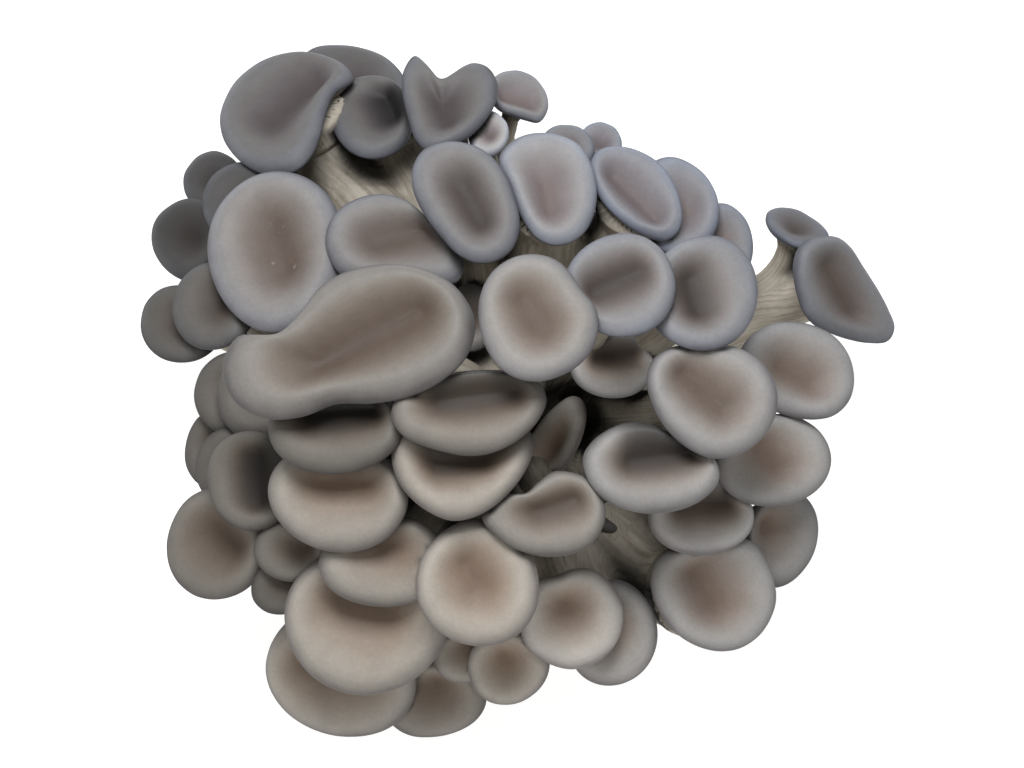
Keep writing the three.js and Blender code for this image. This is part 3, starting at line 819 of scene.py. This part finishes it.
def spread(tree, value, low, high):
    """A noise's usual range spread from low to high."""
    made = tree.nodes.new("ShaderNodeMapRange")
    for socket, setting in zip(made.inputs, (value, *NOISE_RANGE, low, high)):
        plug(tree, socket, setting)
    return made.outputs[0]


def dim(tree, base, factor):
    """A colour with its light multiplied by a number."""
    made = tree.nodes.new("ShaderNodeCombineColor")
    for socket in made.inputs[:3]:
        plug(tree, socket, factor)
    return blend(tree, "MULTIPLY", 1.0, base, made.outputs[0])


def bump(tree, shader, height, strength, distance):
    """Relief from a height."""
    made = tree.nodes.new("ShaderNodeBump")
    plug(tree, made.inputs["Strength"], strength)
    plug(tree, made.inputs["Distance"], distance)
    plug(tree, made.inputs["Height"], height)
    plug(tree, shader.inputs["Normal"], made.outputs[0])


def object_place(tree):
    """The place on the object, in metres."""
    return tree.nodes.new("ShaderNodeTexCoord").outputs["Object"]


def skin_material():
    """Velvety grey-brown skin: dark in the hollow, palest before the rim, with a dark bluish edge. The dark
    hollow and edge are partly its own colour and partly painted shade, and the bluish cast on the upper caps'
    edges is painted cool light.
    """
    made, tree, shader = material("cap_skin_velvet")
    place = object_place(tree)
    rho = attribute(tree, "rho")
    drift = spread(tree, noise(tree, place, scale=60, detail=2), -0.03, 0.03)
    body = ramp(tree, maths(tree, "ADD", rho, drift), SKIN_SCALE)
    # Painted cool and warm light by place, with each cap's own tone and painted shade.
    with_painted_light = blend(tree, "MULTIPLY", 1.0, body, attribute(tree, "tone_and_painted_light", "Vector"))
    grain = spread(tree, noise(tree, place, scale=900, roughness=0.6), 0.95, 1.05)
    mottle = spread(tree, noise(tree, place, scale=190, roughness=0.55), 0.95, 1.05)
    grained = dim(tree, with_painted_light, maths(tree, "MULTIPLY", grain, mottle))
    shaded = dim(tree, grained, attribute(tree, "shade"))
    peaks = maths(tree, "SUBTRACT", noise(tree, place, scale=330, detail=1), SCAR_CUT)
    fleck = maths(tree, "MULTIPLY", peaks, SCAR_GAIN)
    near = maths(tree, "LESS_THAN", rho, SCAR_REACH)
    scars = maths(tree, "MULTIPLY", maths(tree, "MULTIPLY", fleck, near), attribute(tree, "scar"))
    plug(tree, shader.inputs["Base Color"], blend(tree, "MIX", scars, shaded, SCAR_COLOUR))
    shader.inputs["Roughness"].default_value = 0.6
    shader.inputs["Specular IOR Level"].default_value = 0.3
    bump(tree, shader, noise(tree, place, scale=1500, roughness=0.6), strength=0.15, distance=0.2 * MM)
    return made


def gill_material():
    """Cream-grey gills, greyer towards the rim."""
    made, tree, shader = material("gill_cream")
    place = object_place(tree)
    body = ramp(tree, maths(tree, "MULTIPLY", attribute(tree, "rho"), GILL_SCALE), [
        (0.3, (92, 88, 88)),
        (0.42, (132, 126, 118)),
        (0.6, (160, 152, 140)),
        (0.95, (172, 165, 151)),
    ])
    mottle = spread(tree, noise(tree, place, scale=300), 0.9, 1.08)
    light = maths(tree, "MULTIPLY", mottle, attribute(tree, "shade"))
    plug(tree, shader.inputs["Base Color"], dim(tree, body, light))
    shader.inputs["Roughness"].default_value = 0.75
    shader.inputs["Specular IOR Level"].default_value = 0.25
    bump(tree, shader, noise(tree, place, scale=1400), strength=0.15, distance=0.2 * MM)
    return made


def stalk_material():
    """Cream-grey flesh with fine darker fibres along the stalks and a paler butt."""
    made, tree, shader = material("stalk_cream")
    place = object_place(tree)
    strands = noise(tree, attribute(tree, "fibre", "Vector"), scale=1.6, detail=4, roughness=0.6)
    body = ramp(tree, strands, [
        (0.3, (138, 128, 113)),
        (0.42, (153, 144, 130)),
        (0.55, (167, 160, 147)),
        (0.75, (179, 173, 161)),
    ])
    lower = blend(tree, "MIX", attribute(tree, "down"), body, (172, 167, 157))
    mottle = spread(tree, noise(tree, place, scale=160, detail=4), 0.86, 1.06)
    light = maths(tree, "MULTIPLY", mottle, attribute(tree, "shade"))
    plug(tree, shader.inputs["Base Color"], dim(tree, lower, light))
    shader.inputs["Roughness"].default_value = 0.78
    shader.inputs["Specular IOR Level"].default_value = 0.25
    bump(tree, shader, strands, strength=0.3, distance=0.4 * MM)
    return made


def floor_material():
    """A plain white floor that glows a little, so that it stays white round the cluster."""
    made, _, shader = material("floor_white")
    shader.inputs["Base Color"].default_value = (0.35, 0.35, 0.35, 1)
    shader.inputs["Roughness"].default_value = 0.9
    shader.inputs["Emission Color"].default_value = (1, 1, 1, 1)
    shader.inputs["Emission Strength"].default_value = 0.85
    return made


# Building


skin = skin_material()
gills = gill_material()

caps = [Cap(index) for index in range(1, CAP_COUNT + 1)]
stalks = [Stalk(cap) for cap in caps]
for cap, stalk in zip(caps, stalks):
    piece = make_cap(cap, stalk, [skin, gills])
    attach(piece, "root")
    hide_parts(cap.node)

body = make_stalks(stalks, stalk_material())
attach(body, "root")
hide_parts("stalks_and_butt")


# The floor, the light and the camera


def look_along(direction):
    """The rotation of a camera or light that looks along a direction, with the picture's up kept up."""
    back = Vector(-unit(direction))
    right = Vector(UP).cross(back).normalized()
    return Matrix((right, back.cross(right), back)).transposed().to_euler()


def area_light(name, place, size, power, tone):
    """A soft square light aimed at the middle of the cluster."""
    lamp = bpy.data.lights.new(name, "AREA")
    lamp.size = size
    lamp.energy = power
    lamp.color = tone
    made = bpy.data.objects.new(name, lamp)
    made.location = place
    made.rotation_euler = look_along(PIVOT - place)
    bpy.context.scene.collection.objects.link(made)


FLOOR_REACH = 6
corners = [(-FLOOR_REACH, -FLOOR_REACH, 0), (FLOOR_REACH, -FLOOR_REACH, 0),
           (FLOOR_REACH, FLOOR_REACH, 0), (-FLOOR_REACH, FLOOR_REACH, 0)]
floor = new_piece("floor", corners, [(0, 1, 2, 3)], [floor_material()], smooth=False)

KEY_PLACE = PIVOT + UP * 0.9 + TOWARD * 1.1 - RIGHT * 0.1
FILL_PLACE = PIVOT - UP * 0.9 + TOWARD * 1.3 - RIGHT * 0.5
area_light("key", KEY_PLACE, size=0.7, power=24, tone=(0.97, 0.98, 1.0))
area_light("fill", FILL_PLACE, size=1.0, power=8, tone=(1.0, 0.97, 0.93))

world = bpy.data.worlds.new("studio")
world.use_nodes = True
world.node_tree.nodes["Background"].inputs["Color"].default_value = (0.96, 0.98, 1.0, 1)
world.node_tree.nodes["Background"].inputs["Strength"].default_value = 0.4
bpy.context.scene.world = world
bpy.context.scene.view_settings.view_transform = "Standard"

camera_data = bpy.data.cameras.new("camera")
camera_data.sensor_width = SENSOR_WIDTH
camera_data.lens = SENSOR_WIDTH * VIEW_DISTANCE / (PICTURE_WIDTH * METRES_PER_PIXEL)
camera_data.clip_start = 0.05
camera = bpy.data.objects.new("camera", camera_data)
camera.location = PIVOT + TOWARD * VIEW_DISTANCE
camera.rotation_euler = look_along(-TOWARD)
bpy.context.scene.collection.objects.link(camera)
bpy.context.scene.camera = camera
